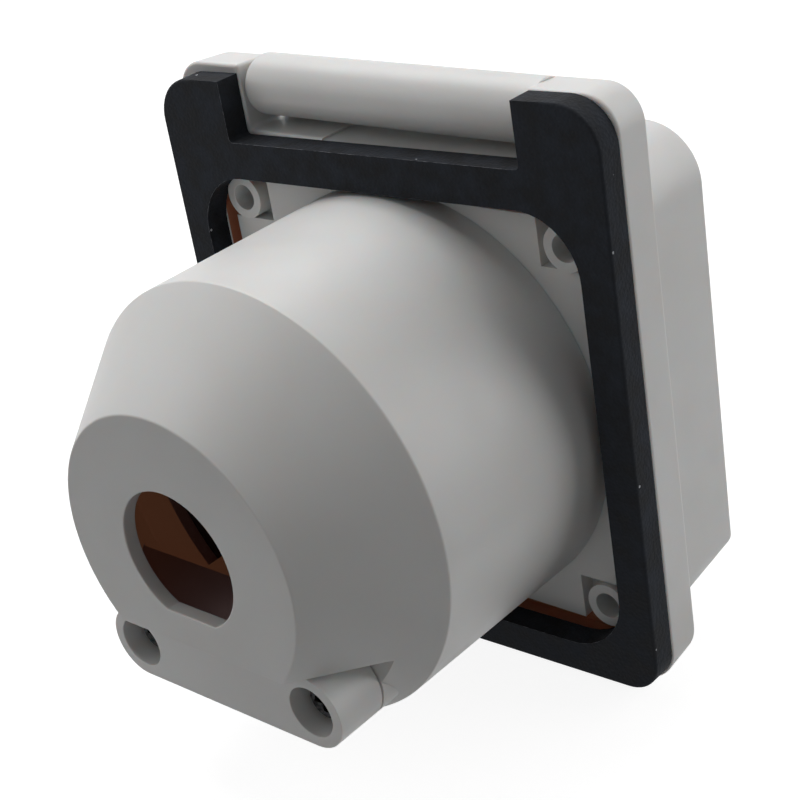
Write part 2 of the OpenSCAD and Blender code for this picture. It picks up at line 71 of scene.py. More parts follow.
ROUND_MM = 0.1  # the same beside a round edge, whose points lie on chords
LAP_MM = 1.0  # how far a cutter or a joined part reaches past the face that it meets
THROUGH_MM = 5.0  # how far a block that cuts right through stands out
SMALL_SIDES = 48  # faces round a screw, a boss or a pin
LARGE_SIDES = 128  # faces round a large ring
PANEL_SEGMENTS = 20  # faces across a panel's rounded corner
COPY_SEGMENTS = 3  # faces across a soft edge of a copied CAD solid
FLAT_ANGLE = math.radians(0.4)  # faces that meet at less than this are one flat face
BENT_ANGLE = math.radians(0.2)  # a face bent by more than this isn't flat
CREASE_ANGLE = math.radians(30)  # edges sharper than this are edges to the eye

Piece = bpy.types.Object
Tree = bpy.types.NodeTree
Node = bpy.types.Node
Socket = bpy.types.NodeSocket
Colour = tuple[float, float, float, float]
Place = tuple[float, float, float]
Span = tuple[float, float]
Test = Callable[[Vector], bool]


class Body(str, Enum):
    """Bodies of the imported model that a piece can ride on."""

    INLET = "inlet"
    LID = "lid"


class Slot(str, Enum):
    """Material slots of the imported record."""

    WHITE_PLASTIC = "white_plastic"
    GASKET_FOAM = "gasket_foam"
    BLACK_PLASTIC = "black_plastic"
    SEAL_RUBBER = "seal_rubber"
    STEEL = "steel"


class Element(str, Enum):
    """Elements of a mesh that can be picked in edit mode."""

    POINT = "VERT"
    EDGE = "EDGE"
    FACE = "FACE"


class Operation(str, Enum):
    """Ways to combine two volumes."""

    JOIN = "UNION"
    CUT = "DIFFERENCE"


def linear(hex_colour: str) -> Colour:
    """Turns an sRGB hex value into linear red, green, blue and alpha.

    Args:
        hex_colour: Six hex digits after a hash sign.

    Returns:
        The linear colour with an alpha of 1.
    """
    digits = hex_colour.lstrip("#")
    levels = [int(digits[i:i + 2], 16) / 255 for i in (0, 2, 4)]
    red, green, blue = (c / 12.92 if c <= 0.04045 else ((c + 0.055) / 1.055) ** 2.4 for c in levels)
    return red, green, blue, 1.0


def per_metre(size_mm: float) -> float:
    """Scale of a pattern whose features are size_mm wide."""
    return 1 / (size_mm * MM)


def add_node(tree: Tree, kind: str, settings: Optional[dict[Any, Any]] = None,
             links: Optional[dict[Any, Socket]] = None) -> Node:
    """Adds a node with its settings and links.

    Args:
        tree: Node tree that gets the node.
        kind: Blender's type name of the node.
        settings: Values by input name, input number or attribute name.
        links: Output sockets by the name or number of the input that they feed.

    Returns:
        The new node.
    """
    node = tree.nodes.new(kind)
    for key, value in (settings or {}).items():
        if isinstance(key, int) or key in node.inputs:
            node.inputs[key].default_value = value
        else:
            setattr(node, key, value)
    for key, socket in (links or {}).items():
        tree.links.new(socket, node.inputs[key])
    return node


class Grain(str, Enum):
    """Textures that a pattern can be made of."""

    SOFT = "ShaderNodeTexNoise"
    CELLS = "ShaderNodeTexVoronoi"


@dataclass(frozen=True)
class Pattern:
    """A texture with features of one size, and the band of its values that is stretched from 0 to 1."""

    size_mm: float
    band: Optional[Span] = None
    detail: float = 2.0
    grain: Grain = Grain.SOFT

    def value(self, tree: Tree, place: Socket) -> Socket:
        """Adds the pattern to a material.

        Args:
            tree: Node tree of the material.
            place: Object coordinates, in metres.

        Returns:
            The socket of its value.
        """
        texture = add_node(tree, self.grain.value, {"Scale": per_metre(self.size_mm), "Detail": self.detail},
                           {"Vector": place}).outputs[0]
        if self.band is None:
            return texture
        return add_node(tree, "ShaderNodeMapRange", {"From Min": self.band[0], "From Max": self.band[1]},
                        {"Value": texture}).outputs["Result"]


@dataclass(frozen=True)
class Finish:
    """A surface finish: even shader values, patches of a second colour, uneven gloss and relief."""

    name: str
    roughness: float
    colour: str
    patch_colour: str
    patches: Pattern
    relief: Pattern
    relief_depth_mm: float
    relief_strength: float
    gloss_range: Span = (0.0, 0.0)
    gloss: Optional[Pattern] = None  # where there is none, the gloss follows the patches
    ior: float = 1.5
    metallic: float = 0.0
    specular: float = 0.5
    scatter: float = 0.0
    scatter_mm: Place = (0.9, 0.62, 0.5)
    glow: str = "#FFFFFF"
    made: ClassVar[dict[str, bpy.types.Material]] = {}

    def material(self) -> bpy.types.Material:
        """Builds the finish's material once, and gives the same one to every piece.

        Returns:
            The material.
        """
        if self.name not in self.made:
            material = bpy.data.materials.new(self.name)
            material.use_nodes = True
            tree = material.node_tree
            tree.nodes.clear()
            shader = add_node(tree, "ShaderNodeBsdfPrincipled", {
                "Roughness": self.roughness, "IOR": self.ior, "Metallic": self.metallic,
                "Specular IOR Level": self.specular, "Subsurface Weight": self.scatter,
                "Subsurface Radius": self.scatter_mm, "Subsurface Scale": MM, "Emission Color": linear(self.glow)})
            add_node(tree, "ShaderNodeOutputMaterial", links={"Surface": shader.outputs["BSDF"]})
            place = add_node(tree, "ShaderNodeTexCoord").outputs["Object"]
            for name, socket in self.dress(tree, place).items():
                tree.links.new(socket, shader.inputs[name])
            self.made[self.name] = material
        return self.made[self.name]

    def dress(self, tree: Tree, place: Socket) -> dict[str, Socket]:
        """Makes the finish's colour, gloss and relief.

        Args:
            tree: Node tree of the material.
            place: Object coordinates, in metres.

        Returns:
            The sockets that feed the shader, by the name of its input.
        """
        share = self.patches.value(tree, place)
        colour = add_node(tree, "ShaderNodeMix", {
            "data_type": "RGBA", 6: linear(self.colour), 7: linear(self.patch_colour)}, {0: share})
        bump = add_node(tree, "ShaderNodeBump", {
            "Strength": self.relief_strength, "Distance": self.relief_depth_mm * MM},
            {"Height": self.relief.value(tree, place)})
        fed = {"Base Color": colour.outputs[2], "Normal": bump.outputs["Normal"]}
        if any(self.gloss_range):
            low, high = (self.roughness + step for step in self.gloss_range)
            uneven = self.gloss.value(tree, place) if self.gloss else share
            fed["Roughness"] = add_node(tree, "ShaderNodeMapRange", {"To Min": low, "To Max": high},
                                        {"Value": uneven}).outputs["Result"]
        return fed


@dataclass(frozen=True)
class MouldedPlastic(Finish):
    """Injection-moulded plastic: an even colour, a fine satin grain and faint cloudy flow marks."""

    colour: str = "#DFDFDE"
    patch_colour: str = "#DAD9D7"
    patches: Pattern = Pattern(34.0, (0.35, 0.65))
    relief: Pattern = Pattern(0.55, detail=3.0)  # the real grain is about 0.1 mm and would not show
    relief_depth_mm: float = 0.02
    relief_strength: float = 0.35
    gloss_range: Span = (-0.04, 0.04)
    gloss: Optional[Pattern] = Pattern(34.0 / 6, (0.3, 0.7))


@dataclass(frozen=True)
class Zone:
    """A ring between two rectangles in X and Z, and between two depths in Y."""

    inner: Span
    outer: Span
    depth: Span

    def share(self, tree: Tree, place: Socket) -> Socket:
        """Gives 1 inside the ring and 0 elsewhere.

        Args:
            tree: Node tree of the material.
            place: Object coordinates, in metres.

        Returns:
            The share's socket.
        """
        x, y, z = add_node(tree, "ShaderNodeSeparateXYZ", links={"Vector": place}).outputs
        middle, reach = sum(self.depth) / 2, abs(self.depth[1] - self.depth[0]) / 2
        bands = ((x, 0.0, self.inner[0]), (z, 0.0, self.inner[1]),
                 (x, 0.0, self.outer[0]), (z, 0.0, self.outer[1]), (y, middle, reach))
        across, up, *within = (
            add_node(tree, "ShaderNodeMath", {"operation": "COMPARE", 1: centre * MM, 2: half * MM},
                     {0: value}).outputs["Value"] for value, centre, half in bands)
        plate = add_node(tree, "ShaderNodeMath", {"operation": "MULTIPLY"}, {0: across, 1: up})
        share = add_node(tree, "ShaderNodeMath", {"operation": "SUBTRACT", 0: 1.0},
                         {1: plate.outputs["Value"]}).outputs["Value"]
        for band in within:
            share = add_node(tree, "ShaderNodeMath", {"operation": "MULTIPLY"},
                             {0: share, 1: band}).outputs["Value"]
        return share


@dataclass(frozen=True)
class PaintedLightPlastic(MouldedPlastic):
    """White ABS with painted light: an emitted glow, which is no lamp, stands for light through thin walls, and
    zones get a painted tint in place of the light and shade that fall there.
    """

    # colour of the painted glow, an emission that stands in for light coming through the wall
    glow: str = "#FFA678"
    painted_glow_strength: float = 0.0
    # colour painted over the zones, in place of the light and shade that fall there
    painted_tint: str = "#B5795C"
    zones: tuple[Zone, ...] = ()

    def dress(self, tree: Tree, place: Socket) -> dict[str, Socket]:
        """Paints the zones' tint over the moulded plastic, and the painted glow outside them if there is one.

        Args:
            tree: Node tree of the material.
            place: Object coordinates, in metres.

        Returns:
            The sockets that feed the shader, by the name of its input.
        """
        fed = super().dress(tree, place)
        share, *others = (zone.share(tree, place) for zone in self.zones)
        for other in others:
            share = add_node(tree, "ShaderNodeMath", {"operation": "MAXIMUM"},
                             {0: share, 1: other}).outputs["Value"]
        tinted = add_node(tree, "ShaderNodeMix", {"data_type": "RGBA", 7: linear(self.painted_tint)},
                          {0: share, 6: fed["Base Color"]})
        fed["Base Color"] = tinted.outputs[2]
        # painted glow outside the zones, fading to none inside them
        if self.painted_glow_strength > 0:
            fed["Emission Strength"] = add_node(tree, "ShaderNodeMapRange", {
                "To Min": self.painted_glow_strength, "To Max": 0.0}, {"Value": share}).outputs["Result"]
        return fed


@dataclass(frozen=True)
class CellFoam(Finish):
    """Closed-cell rubber foam cut from sheet: matt, nearly black, pitted, with pale specks of dust."""

    colour: str = "#0A0C10"
    patch_colour: str = "#1E2229"
    patches: Pattern = Pattern(5.0, (0.38, 0.66), 8.0)
    relief: Pattern = Pattern(0.7, detail=0.0, grain=Grain.CELLS)
    relief_depth_mm: float = 0.14
    relief_strength: float = 0.7
    specular: float = 0.3
    speck_colour: str = "#B4B7BC"
    speck_pitch_mm: float = 2.6
    speck_share: float = 0.11
    speck_kept: float = 0.86

    def dress(self, tree: Tree, place: Socket) -> dict[str, Socket]:
        """Adds the specks to the dusty foam.

        Args:
            tree: Node tree of the material.
            place: Object coordinates, in metres.

        Returns:
            The sockets that feed the shader, by the name of its input.
        """
        fed = super().dress(tree, place)
        cells = add_node(tree, "ShaderNodeTexVoronoi", {"Scale": per_metre(self.speck_pitch_mm)},
                         {"Vector": place})
        dot = add_node(tree, "ShaderNodeMath", {"operation": "LESS_THAN", 1: self.speck_share},
                       {0: cells.outputs["Distance"]})
        few = add_node(tree, "ShaderNodeMath", {"operation": "GREATER_THAN", 1: self.speck_kept},
                       {0: cells.outputs["Color"]})
        speck = add_node(tree, "ShaderNodeMath", {"operation": "MULTIPLY"},
                         {0: dot.outputs["Value"], 1: few.outputs["Value"]})
        specked = add_node(tree, "ShaderNodeMix", {"data_type": "RGBA", 7: linear(self.speck_colour)},
                           {0: speck.outputs["Value"], 6: fed["Base Color"]})
        return {**fed, "Base Color": specked.outputs[2]}


@dataclass(frozen=True)
class TurnedMetal(Finish):
    """Bare turned metal: fine tool marks, and dull patches with less gloss."""

    colour: str = "#B9BBBE"
    patch_colour: str = "#9FA1A4"
    patches: Pattern = Pattern(5.0, (0.4, 0.65), 3.0)
    relief: Pattern = Pattern(0.4)
    relief_depth_mm: float = 0.01
    relief_strength: float = 0.4
    gloss_range: Span = (0.0, 0.15)
    metallic: float = 1.0


class Finishes:
    """The finishes of this inlet."""

    # White ABS, moulded with a fine satin grain: soft highlights, and a warm glow through thin walls
    WHITE = MouldedPlastic("white_moulded_abs", roughness=0.42, ior=1.53, scatter=1.0)
    # The same ABS on the flange, where the groove round the raised plate gets a painted orange-brown tint: painted
    # light that stands in for daylight through the thin skirt
    FLANGE = PaintedLightPlastic("white_moulded_abs_flange_painted_groove_light", roughness=0.42, ior=1.53, scatter=1.0,
                               zones=(Zone((47.7, 45.6), (51.3, 49.3), (-3.8, -0.25)),))
    # The same ABS inside the cover, painted brown with a glow that is no lamp, as painted light coming through the
    # wall; over the bar and far in, a darker tint with no glow is painted shade
    INSIDE = PaintedLightPlastic("white_moulded_abs_painted_light_and_shade", roughness=0.5, ior=1.53, colour="#BC9A80",
                               patch_colour="#AD8A70", painted_glow_strength=0.03, painted_tint="#AA9395",
                               # painted shade: the shelf over the screw bar, and everything far in, before Y 41
                               zones=(Zone((100, 17.2), (100, 100), (53.5, 80)),
                                      Zone((0, 0), (100, 100), (-5, 41))))
    # EPDM foam sheet, matt and nearly black
    FOAM = CellFoam("epdm_foam", roughness=0.92)
    # The rounded rear edges of that foam round the notch and the opening get a greyer colour
    FOAM_EDGE = CellFoam("epdm_foam_cut_edge", roughness=0.95, colour="#2E3035", patch_colour="#8A8C92",
                         patches=Pattern(1.6, (0.38, 0.66), 8.0), speck_kept=0.7)
    # Glass-filled nylon of the contact carrier, black and satin
    BLACK = MouldedPlastic("black_moulded_nylon", roughness=0.5, ior=1.53, colour="#121213",
                           patch_colour="#18181A", relief_depth_mm=0.03)
    # Neoprene of the seals, black and dull
    RUBBER = MouldedPlastic("neoprene_seal", roughness=0.75, colour="#151515", patch_colour="#1C1C1D",
                            relief=Pattern(0.8, detail=3.0))
    # Turned brass of the contacts, warm yellow with a soft shine
    BRASS = TurnedMetal("turned_brass", roughness=0.24, colour="#C9A75E", patch_colour="#B08D48")
    # Stainless steel of the pin and the inner screws, pale grey with clear reflections
    STEEL = TurnedMetal("stainless_steel", roughness=0.2)
    # Oiled steel of the cover screws, dark with small sharp glints
    OILED = TurnedMetal("oiled_steel", roughness=0.16, colour="#77787B", patch_colour="#161617",
                        patches=Pattern(0.9, (0.4, 0.65), 3.0), relief=Pattern(0.5), relief_depth_mm=0.08)


def clear_selection() -> None:
    """Leaves edit mode and deselects every object."""
    if bpy.context.mode != "OBJECT":
        bpy.ops.object.mode_set(mode="OBJECT")
    bpy.ops.object.select_all(action="DESELECT")


def take(piece: Piece) -> None:
    """Selects one object alone and makes it active.

    Args:
        piece: The object.
    """
    clear_selection()
    piece.select_set(True)
    bpy.context.view_layer.objects.active = piece


@contextmanager
def editing(piece: Piece) -> Iterator[None]:
    """Opens a piece in edit mode with everything selected, and leaves edit mode at the end.

    Args:
        piece: Mesh to open.
    """
    take(piece)
    bpy.ops.object.mode_set(mode="EDIT")
    bpy.ops.mesh.select_mode(type=Element.POINT.value)
    bpy.ops.mesh.select_all(action="SELECT")
    yield
    bpy.ops.object.mode_set(mode="OBJECT")


def pick(piece: Piece, element: Element, chosen: Callable[[Any], bool]) -> None:
    """Selects those points, edges or faces of a piece in edit mode that pass a test.

    Args:
        piece: Mesh in edit mode.
        element: What to select.
        chosen: Test on one point, edge or face of the mesh.
    """
    bpy.ops.mesh.select_all(action="DESELECT")
    bpy.ops.mesh.select_mode(type=element.value)
    bpy.ops.object.mode_set(mode="OBJECT")
    mesh = piece.data
    parts = {Element.POINT: mesh.vertices, Element.EDGE: mesh.edges, Element.FACE: mesh.polygons}
    for part in parts[element]:
        part.select = chosen(part)
    bpy.ops.object.mode_set(mode="EDIT")


def finish_modifier(piece: Piece, kind: str, **settings: Any) -> None:
    """Adds a modifier with its settings and applies it.

    Args:
        piece: Mesh to change.
        kind: Blender's type name of the modifier.
        settings: Values by the name of the modifier's attribute.
    """
    take(piece)
    modifier = piece.modifiers.new(kind.lower(), kind)
    for name, value in settings.items():
        setattr(modifier, name, value)
    bpy.ops.object.modifier_apply(modifier=modifier.name)


def settle(piece: Piece) -> None:
    """Puts an object's place, turn and size into its mesh."""
    take(piece)
    bpy.ops.object.transform_apply(location=True, rotation=True, scale=True)


def smooth(piece: Piece) -> None:
    """Shades a piece smooth, apart from its creases."""
    take(piece)
    bpy.ops.object.shade_smooth_by_angle(angle=CREASE_ANGLE)


def even_shading(piece: Piece) -> None:
    """Shades a piece smooth, with its large faces flat right up to their rounded edges."""
    smooth(piece)
    finish_modifier(piece, "WEIGHTED_NORMAL", keep_sharp=True, weight=80)


def face_out(piece: Piece) -> None:
    """Merges doubled points and turns all faces outwards.

    Args:
        piece: Mesh to change.
    """
    with editing(piece):
        bpy.ops.mesh.remove_doubles(threshold=MERGE_MM * MM)
        bpy.ops.mesh.normals_make_consistent(inside=False)


def split_bent_faces(piece: Piece) -> None:
    """Splits the faces that aren't flat, so that a boolean leaves no gap in them."""
    with editing(piece):
        bpy.ops.mesh.vert_connect_nonplanar(angle_limit=BENT_ANGLE)


def added(name: str) -> Piece:
    """Names the primitive that was just added.

    Args:
        name: Name of the object and its mesh.

    Returns:
        The primitive.
    """
    piece = bpy.context.active_object
    piece.name = name
    piece.data.name = name
    return piece


def block(name: str, low: Place, high: Place) -> Piece:
    """Adds a box between two corners.

    Args:
        name: Name of the object.
        low: Lowest corner.
        high: Highest corner.

    Returns:
        The box, with its place in its mesh.
    """
    clear_selection()
    middle = [(a + b) / 2 * MM for a, b in zip(low, high)]
    bpy.ops.mesh.primitive_cube_add(size=1, location=middle)
    piece = added(name)
    piece.scale = [(b - a) * MM for a, b in zip(low, high)]
    settle(piece)
    return piece


def rod(name: str, radius: float, span: Span, x: float = 0.0, z: float = 0.0, sides: int = 96) -> Piece:
    """Adds a round bar along Y.

    Args:
        name: Name of the object.
        radius: Radius of the bar.
        span: Y of its two ends.
        x: X of its axis.
        z: Z of its axis.
        sides: Faces round it.

    Returns:
        The bar, with its place in its mesh.
    """
    clear_selection()
    middle = Vector((x, sum(span) / 2, z)) * MM
    bpy.ops.mesh.primitive_cylinder_add(vertices=sides, radius=radius * MM, depth=(span[1] - span[0]) * MM,
                                        location=middle, rotation=(-math.pi / 2, 0, 0))
    piece = added(name)
    settle(piece)
    return piece


def lay_across(piece: Piece, y: float, z: float) -> Piece:
    """Turns a piece from the Y axis to lie along X, and moves its axis to a place in Y and Z.

    Args:
        piece: Mesh round the Y axis.
        y: Y of the new axis.
        z: Z of the new axis.

    Returns:
        The same piece.
    """
    piece.rotation_euler.z = -math.pi / 2
    piece.location = (0, y * MM, z * MM)
    settle(piece)
    return piece


def turned(name: str, profile: Sequence[Span], steps: int = 192) -> Piece:
    """Spins a profile round the Y axis into a closed solid.

    Args:
        name: Name of the object.
        profile: Radius and Y of each point; the first and the last lie on the axis.
        steps: Faces round the axis.

    Returns:
        The solid.
    """
    clear_selection()
    bpy.ops.mesh.primitive_plane_add(size=MM)
    piece = added(name)
    points = [Vector((radius, y, 0)) * MM for radius, y in profile]
    with editing(piece):
        bpy.ops.mesh.merge(type="CENTER")
        bpy.ops.transform.translate(value=points[0])
        for here, there in zip(points, points[1:]):
            bpy.ops.mesh.extrude_vertices_move(TRANSFORM_OT_translate={"value": there - here})
        bpy.ops.mesh.select_all(action="SELECT")
        bpy.ops.mesh.spin(steps=steps, angle=2 * math.pi, center=(0, 0, 0), axis=(0, 1, 0))
    face_out(piece)
    return piece


def middle_of(piece: Piece, edge: bpy.types.MeshEdge) -> Vector:
    """Gives the middle of an edge, in millimetres."""
    first, second = (piece.data.vertices[i].co for i in edge.vertices)
    return (first + second) / 2 / MM


def is_upright(piece: Piece, edge: bpy.types.MeshEdge) -> bool:
    """Tells whether an edge runs along Y."""
    first, second = (piece.data.vertices[i].co for i in edge.vertices)
    return abs((second - first).normalized().y) > 0.99


def round_upright_edges(piece: Piece, radius: float, wanted: Test, segments: int = 12) -> None:
    """Rounds those edges along Y whose middle passes a test.

    Args:
        piece: Mesh to change.
        radius: Radius of the rounding.
        wanted: Test on an edge's middle, in millimetres.
        segments: Faces across the rounding.
    """
    with editing(piece):
        pick(piece, Element.EDGE, lambda edge: is_upright(piece, edge) and wanted(middle_of(piece, edge)))
        bpy.ops.mesh.bevel(offset=radius * MM, segments=segments, affect="EDGES")


def rounded_panel(name: str, low: Place, high: Place, low_radius: float, top_radius: float) -> Piece:
    """Adds a box whose four edges along Y are rounded.

    Args:
        name: Name of the object.
        low: Lowest corner.
        high: Highest corner.
        low_radius: Radius of the two lower edges.
        top_radius: Radius of the two upper edges.

    Returns:
        The rounded box.
    """
    piece = block(name, low, high)
    middle = (low[2] + high[2]) / 2
    round_upright_edges(piece, low_radius, lambda p: p.z < middle, PANEL_SEGMENTS)
    round_upright_edges(piece, top_radius, lambda p: p.z > middle, PANEL_SEGMENTS)
    return piece


def reshape(piece: Piece, wanted: Test, centre: Sequence[float] = (0, 0, 0), size: Place = (1, 1, 1),
            move: Sequence[float] = (0, 0, 0)) -> None:
    """Scales those points that pass a test about a centre, then moves them.

    Args:
        piece: Mesh to change.
        wanted: Test on a point, in millimetres.
        centre: Point that the scaling leaves in its place.
        size: Factors along the three axes.
        move: How far the points move after that.
    """
    with editing(piece):
        pick(piece, Element.POINT, lambda point: wanted(point.co / MM))
        bpy.ops.transform.resize(value=size, center_override=Vector(centre) * MM)
        bpy.ops.transform.translate(value=Vector(move) * MM)


def soften_edges(piece: Piece, width: float, wanted: Test, segments: int = 4, slot: int = -1) -> None:
    """Rounds those sharp edges whose middle passes a test.

    Args:
        piece: Mesh to change.
        width: Width of the rounding.
        wanted: Test on an edge's middle, in millimetres.
        segments: Faces across the rounding.
        slot: Number of the material that the rounding gets, or -1 for that of its neighbours.
    """
    normals: dict[tuple[int, int], list[Vector]] = {key: [] for key in piece.data.edge_keys}
    for face in piece.data.polygons:
        for key in face.edge_keys:
            normals[key].append(face.normal.copy())
    sharp = {key for key, sides in normals.items()
             if len(sides) == 2 and sides[0].angle(sides[1], 0) > CREASE_ANGLE}
    with editing(piece):
        pick(piece, Element.EDGE, lambda edge: edge.key in sharp and wanted(middle_of(piece, edge)))
        bpy.ops.mesh.bevel(offset=width * MM, segments=segments, affect="EDGES", clamp_overlap=True,
                           material=slot)


def combine(piece: Piece, other: Piece, operation: Operation) -> None:
    """Adds a second volume to a piece or takes it out, keeps both finishes and deletes the second."""
    finish_modifier(piece, "BOOLEAN", operation=operation.value, object=other, solver="EXACT",
                    material_mode="TRANSFER")
    bpy.data.objects.remove(other, do_unlink=True)


def cut_away(piece: Piece, cutter: Piece) -> None:
    """Takes a cutter's volume out of a piece and deletes the cutter."""
    combine(piece, cutter, Operation.CUT)


def join_on(piece: Piece, part: Piece) -> None:
    """Adds a part's volume to a piece and deletes the part."""
    combine(piece, part, Operation.JOIN)


def paint(piece: Piece, finish: Finish) -> None:
    """Gives a whole piece one finish."""
    piece.data.materials.clear()
    piece.data.materials.append(finish.material())


def soft_copy(node: str, name: str, edge_mm: float) -> Piece:
    """Copies a CAD node as one merged mesh and rounds its sharp edges.

    Args:
        node: Name of the CAD node.
        name: Name of the piece.
        edge_mm: Width of the rounding on each edge.

    Returns:
        The piece, with its place in its mesh and no material.
    """
    piece = bpy.data.objects.new(name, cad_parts[node].data.copy())
    bpy.context.scene.collection.objects.link(piece)
    piece.data.name = name
    piece.data.materials.clear()
    take(piece)
    bpy.ops.mesh.customdata_custom_splitnormals_clear()
    with editing(piece):
        bpy.ops.mesh.remove_doubles(threshold=MERGE_MM * MM)
        bpy.ops.mesh.dissolve_limited(angle_limit=FLAT_ANGLE)
    finish_modifier(piece, "BEVEL", width=edge_mm * MM, segments=COPY_SEGMENTS, limit_method="ANGLE",
                    angle_limit=CREASE_ANGLE, use_clamp_overlap=True)
    even_shading(piece)
    return piece


def join_to_model(piece: Piece, body: Body, slot: Slot, *nodes: str) -> Piece:
    """Lets a piece ride on its body, hides the CAD nodes that it stands for and logs it.

    Args:
        piece: The finished piece.
        body: Body that it rides on.
        slot: Material slot of the record; not used.
        nodes: CAD nodes that it stands for.

    Returns:
        The same piece.
    """
    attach(piece, body.value)
    if nodes:
        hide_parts(*nodes)
    LOG.info("%s: %d faces, rides on %s", piece.name, len(piece.data.polygons), body.value)
    return piece


@dataclass
class FlangePlate:
    """The square flange with its hinge ears, collar, spigot and rear recess."""

    half_width: float = 57.35
    low: float = -56.7
    ear_top: float = 69.7
    right_ear_rise: float = 0.85
    front: float = -9.9
    slope: float = 0.7
    low_radius: float = 9.0
    ear_radius: float = 7.5
    notch_half_width: float = 38.1
    notch_floor: float = 55.6
    dip: Span = (17.0, 0.5)
    outline_edge: float = 0.8
    plate_edge: float = 0.3
    recess: tuple[float, float, float, float] = (51.0, 49.0, 3.6, 12.0)
    plate_blocks: tuple[Span, ...] = ((36.1, 45.5), (47.6, 35.0))
    screw_places: tuple[Span, ...] = ((43, 40), (-43, 40), (43, -40), (-43, -40))
    boss_radius: float = 4.9
    boss_rise: float = 1.0
    screw_radius: float = 2.9
    head_radius: float = 5.5
    head_depth: float = 3.0
    collar: Span = (35.5, -27.1)
    well_radius: float = 32.0
    seat: float = -1.5
    spigot: Place = (43.55, 40.65, 16.5)
    hook_low: Place = (-6.0, 8.0, 42.1)
    hook_high: Place = (6.0, 11.0, 45.45)
    carrier_screws: tuple[Span, ...] = ((35.275, 0), (0, 35.275), (-35.275, 0))
    carrier_screw_hole: Span = (1.8, -8.5)
    carrier_screw_sides: int = 32
    pin_axis: Span = (-5.9, 64.1)
    pin_radius: float = 1.76
    pin_ends: Span = (-48.1, 60.0)

    def build(self) -> Piece:
        """Builds the flange from a sloped panel, its recess, its rings and its holes.

        Returns:
            The piece that stands for the CAD flange.
        """
        piece = self.form()
        cut_away(piece, self.recess_space())
        for x, z in self.screw_places:
            foot = -self.recess[2] - LAP_MM
            join_on(piece, rod("boss", self.boss_radius, (foot, self.boss_rise), x, z, SMALL_SIDES))
        collar_radius, collar_end = self.collar
        join_on(piece, rod("collar", collar_radius, (collar_end, self.front + LAP_MM), sides=LARGE_SIDES))
        join_on(piece, rod("spigot", self.spigot[0], (-LAP_MM, self.spigot[2]), sides=LARGE_SIDES))
        join_on(piece, block("hook", self.hook_low, self.hook_high))
        for hole in self.holes():
            cut_away(piece, hole)
        face_out(piece)
        soften_edges(piece, self.plate_edge, self.on_recess)
        soften_edges(piece, self.plate_edge, lambda p: p.y < collar_end + NEAR_MM)
        # the flange's finish paints the groove round the raised plate orange-brown, as painted light
        paint(piece, Finishes.FLANGE)
        even_shading(piece)
        return join_to_model(piece, Body.INLET, Slot.WHITE_PLASTIC, "base_flange")

    def form(self) -> Piece:
        """Makes the panel with its ears, its notch and its soft outline.

        Returns:
            The panel without its recess, rings and holes.
        """
        piece = rounded_panel("flange", (-self.half_width, self.front, self.low),
                              (self.half_width, 0, self.ear_top), self.low_radius, self.ear_radius)
        middle, half = (self.ear_top + self.low) / 2, (self.ear_top - self.low) / 2
        wide, floor = self.notch_half_width, self.notch_floor
        start, top = self.front - THROUGH_MM, self.ear_top + THROUGH_MM
        reshape(piece, lambda p: p.z > floor and p.x < 0, move=(0, 0, self.right_ear_rise))
        reshape(piece, lambda p: p.y < self.front + NEAR_MM, (0, 0, middle),
                (1 - self.slope / self.half_width, 1, 1 - self.slope / half))
        cut_away(piece, block("notch_cutter", (-wide, start, floor), (wide, THROUGH_MM, top)))
        face_out(piece)
        soften_edges(piece, self.outline_edge, lambda p: p.z < floor + 1 or abs(p.x + wide) > ROUND_MM)
        split_bent_faces(piece)
        reach, deep = self.dip
        cut_away(piece, block("dip_cutter", (-reach, start, floor - deep), (reach, THROUGH_MM, floor + deep)))
        return piece

    def recess_space(self) -> Piece:
        """Makes the space of the recess, round the plate with its four corner pockets.

        Returns:
            The space, as a cutter.
        """
        wide, high, deep, radius = self.recess
        space = rounded_panel("recess_cutter", (-wide, -deep, -high), (wide, 2 * LAP_MM, high), radius, radius)
        for x, z in self.plate_blocks:
            cut_away(space, block("plate", (-x, -deep - LAP_MM, -z), (x, THROUGH_MM, z)))
        return space

    def holes(self) -> list[Piece]:
        """Makes the spaces of the well, the spigot, the screws and the hinge pin.

        Returns:
            The spaces, as cutters.
        """
        front, seat = self.front - LAP_MM, self.seat + LAP_MM
        spaces = [rod("well_cutter", self.well_radius, (self.collar[1] - LAP_MM, seat), sides=LARGE_SIDES),
                  rod("spigot_cutter", self.spigot[1], (self.seat, self.spigot[2] + LAP_MM), sides=LARGE_SIDES)]
        for x, z in self.screw_places:
            for name, radius, end in (("screw_cutter", self.screw_radius, self.boss_rise + LAP_MM),
                                      ("head_cutter", self.head_radius, self.front + self.head_depth)):
                spaces.append(rod(name, radius, (front, end), x, z, SMALL_SIDES))
        radius, start = self.carrier_screw_hole
        for x, z in self.carrier_screws:
            spaces.append(rod("carrier_screw_cutter", radius, (start, seat), x, z, self.carrier_screw_sides))
        pin = rod("pin_cutter", self.pin_radius, self.pin_ends, sides=SMALL_SIDES)
        return [*spaces, lay_across(pin, *self.pin_axis)]

    def on_recess(self, point: Vector) -> bool:
        """Tells whether a point lies on a rim of the raised plate or of a boss.

        Args:
            point: Middle of an edge.

        Returns:
            True on such a rim.
        """
        from_axis = math.hypot(point.x, point.z) - self.spigot[0]
        boss = point.y > self.boss_rise - NEAR_MM and from_axis > 5
        inside = abs(point.x) < self.recess[0] - 2 and abs(point.z) < self.recess[1] - 2
        plate = abs(point.y) < NEAR_MM and inside and from_axis > 2 * ROUND_MM
        return boss or plate


